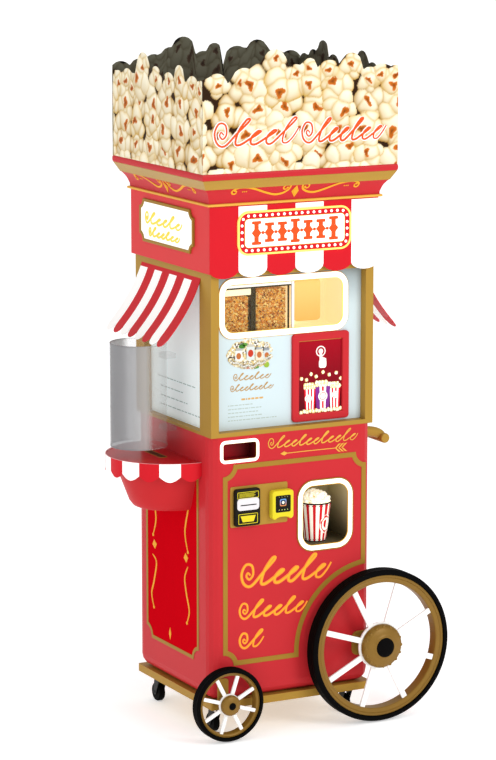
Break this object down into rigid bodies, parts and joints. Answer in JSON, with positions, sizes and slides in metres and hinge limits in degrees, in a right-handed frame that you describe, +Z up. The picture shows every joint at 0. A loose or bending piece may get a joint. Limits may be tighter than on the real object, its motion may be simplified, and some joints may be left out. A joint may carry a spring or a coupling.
{
  "type": "popcorn vending cart",
  "caption": "Floor-standing popcorn vending cart: red cabinet on castors with wagon wheels, gold-framed upper bay, awnings, side tray, pickup window and a popcorn crown.",
  "frame": {"origin": "on the floor, under the middle of the cart's overall box", "axes": "+X to the right of someone facing the front, +Y to the back, +Z up"},
  "size_m": [1.2674, 0.8424, 2.639],
  "materials": {
    "gold_metal": "satin antique-gold paint",
    "red_paint": "semi-gloss enamel",
    "red_board": "semi-gloss enamel on board",
    "striped_red_gloss": "gloss, red with white stripes",
    "pale_panel": "satin printed panel",
    "white_sign": "gloss sign face",
    "popcorn_print": "satin print, black at the back",
    "lit_white": "backlit opal",
    "clear": "clear",
    "screen_glass": "glass-fronted display",
    "black_plastic": "moulded",
    "yellow_plastic": "moulded",
    "cup_paper": "striped paper",
    "popcorn": "popcorn, puffed",
    "steel": "brushed",
    "kettle_metal": "polished",
    "black_rubber": "matt",
    "castor_metal": "blackened"
  },
  "bodies": {
    "cabinet": {"awning_left": "striped_red_gloss", "awning_right": "striped_red_gloss", "bag_slot": "lit_white", "base_plate": "gold_metal", "big_wheel_axle": "gold_metal", "bill_acceptor": "black_plastic", "card_reader": "yellow_plastic", "controller_box": "black_plastic", "cove_frieze": "red_board", "crown_lip": "red_board", "cup_tube": "clear", "front_panel": "pale_panel", "front_valance": "striped_red_gloss", "gold_bead": "gold_metal", "header_box": "red_paint", "kernel_bin_left": "clear", "kernel_bin_right": "clear", "kernel_window_pane": "clear", "kernel_window_ring": "lit_white", "left_panel": "pale_panel", "left_sign": "white_sign", "lower_cabinet": "red_paint", "marquee_sign": "white_sign", "payment_plate": "gold_metal", "pickup_box": "lit_white", "pickup_ring": "lit_white", "popping_kettle": "kettle_metal", "push_handle": "gold_metal", "right_panel": "pale_panel", "right_sign": "white_sign", "screen_bezel": "striped_red_gloss", "side_tray": "striped_red_gloss", "small_wheel_axle": "gold_metal", "topper_back": "popcorn_print", "topper_front": "popcorn_print", "topper_left": "popcorn_print", "topper_right": "popcorn_print", "touch_screen": "screen_glass", "tray_bowl": "striped_red_gloss", "upper_frame": "gold_metal", "upper_rear_panel": "red_paint", "window_liner": "lit_white"},
    "pickup_shutter": {"pickup_shutter": "clear"},
    "popcorn_cup": {"popcorn_cup": "cup_paper", "popcorn_fill": "popcorn"},
    "rear_door": {"rear_door": "red_paint"},
    "door_lock": {"door_lock": "steel"},
    "big_wheel": {"big_wheel": "gold_metal", "big_wheel_tyre": "black_rubber"},
    "small_wheel": {"small_wheel": "gold_metal", "small_wheel_tyre": "black_rubber"},
    "stirrer": {"stirrer": "steel"},
    "castor_fork_front_left": {"castor_fork_front_left": "castor_metal"},
    "castor_wheel_front_left": {"castor_wheel_front_left": "black_rubber"},
    "castor_fork_front_right": {"castor_fork_front_right": "castor_metal"},
    "castor_wheel_front_right": {"castor_wheel_front_right": "black_rubber"},
    "castor_fork_back_left": {"castor_fork_back_left": "castor_metal"},
    "castor_wheel_back_left": {"castor_wheel_back_left": "black_rubber"},
    "castor_fork_back_right": {"castor_fork_back_right": "castor_metal"},
    "castor_wheel_back_right": {"castor_wheel_back_right": "black_rubber"}
  },
  "joints": [
    {"name": "shutter_slide", "type": "slide", "parent": "cabinet", "child": "pickup_shutter", "axis": [0, 0, 1], "range_m": [0, 0.285]},
    {"name": "cup_lift_out", "type": "slide", "parent": "cabinet", "child": "popcorn_cup", "axis": [0, -1, 0], "range_m": [0, 0.25]},
    {"name": "rear_door_hinge", "type": "hinge", "parent": "cabinet", "child": "rear_door", "pos_m": [-0.32335, 0.36125, 0.655], "axis": [0, 0, 1], "range_deg": [0, 110]},
    {"name": "door_lock_turn", "type": "hinge", "parent": "rear_door", "child": "door_lock", "pos_m": [0.24265, 0.35475, 0.655], "axis": [0, -1, 0], "range_deg": [0, 90]},
    {"name": "stirrer_spin", "type": "hinge", "parent": "cabinet", "child": "stirrer", "pos_m": [-0.12735, 0.14875, 1.38], "axis": [0, 0, 1], "continuous": true},
    {"name": "big_wheel_spin", "type": "hinge", "parent": "cabinet", "child": "big_wheel", "pos_m": [0.33065, -0.35625, 0.307], "axis": [0, 1, 0], "continuous": true},
    {"name": "small_wheel_spin", "type": "hinge", "parent": "cabinet", "child": "small_wheel", "pos_m": [-0.32135, -0.34425, 0.149], "axis": [0, 1, 0], "continuous": true},
    {"name": "castor_front_left_swivel", "type": "hinge", "parent": "cabinet", "child": "castor_fork_front_left", "pos_m": [-0.30735, -0.21125, 0.116], "axis": [0, 0, 1], "continuous": true},
    {"name": "castor_front_left_roll", "type": "hinge", "parent": "castor_fork_front_left", "child": "castor_wheel_front_left", "pos_m": [-0.30735, -0.18725, 0.0375], "axis": [1, 0, 0], "continuous": true},
    {"name": "castor_front_right_swivel", "type": "hinge", "parent": "cabinet", "child": "castor_fork_front_right", "pos_m": [0.27265, -0.21125, 0.116], "axis": [0, 0, 1], "continuous": true},
    {"name": "castor_front_right_roll", "type": "hinge", "parent": "castor_fork_front_right", "child": "castor_wheel_front_right", "pos_m": [0.27265, -0.18725, 0.0375], "axis": [1, 0, 0], "continuous": true},
    {"name": "castor_back_left_swivel", "type": "hinge", "parent": "cabinet", "child": "castor_fork_back_left", "pos_m": [-0.30735, 0.26875, 0.116], "axis": [0, 0, 1], "continuous": true},
    {"name": "castor_back_left_roll", "type": "hinge", "parent": "castor_fork_back_left", "child": "castor_wheel_back_left", "pos_m": [-0.30735, 0.29275, 0.0375], "axis": [1, 0, 0], "continuous": true},
    {"name": "castor_back_right_swivel", "type": "hinge", "parent": "cabinet", "child": "castor_fork_back_right", "pos_m": [0.27265, 0.26875, 0.116], "axis": [0, 0, 1], "continuous": true},
    {"name": "castor_back_right_roll", "type": "hinge", "parent": "castor_fork_back_right", "child": "castor_wheel_back_right", "pos_m": [0.27265, 0.29275, 0.0375], "axis": [1, 0, 0], "continuous": true}
  ]
}
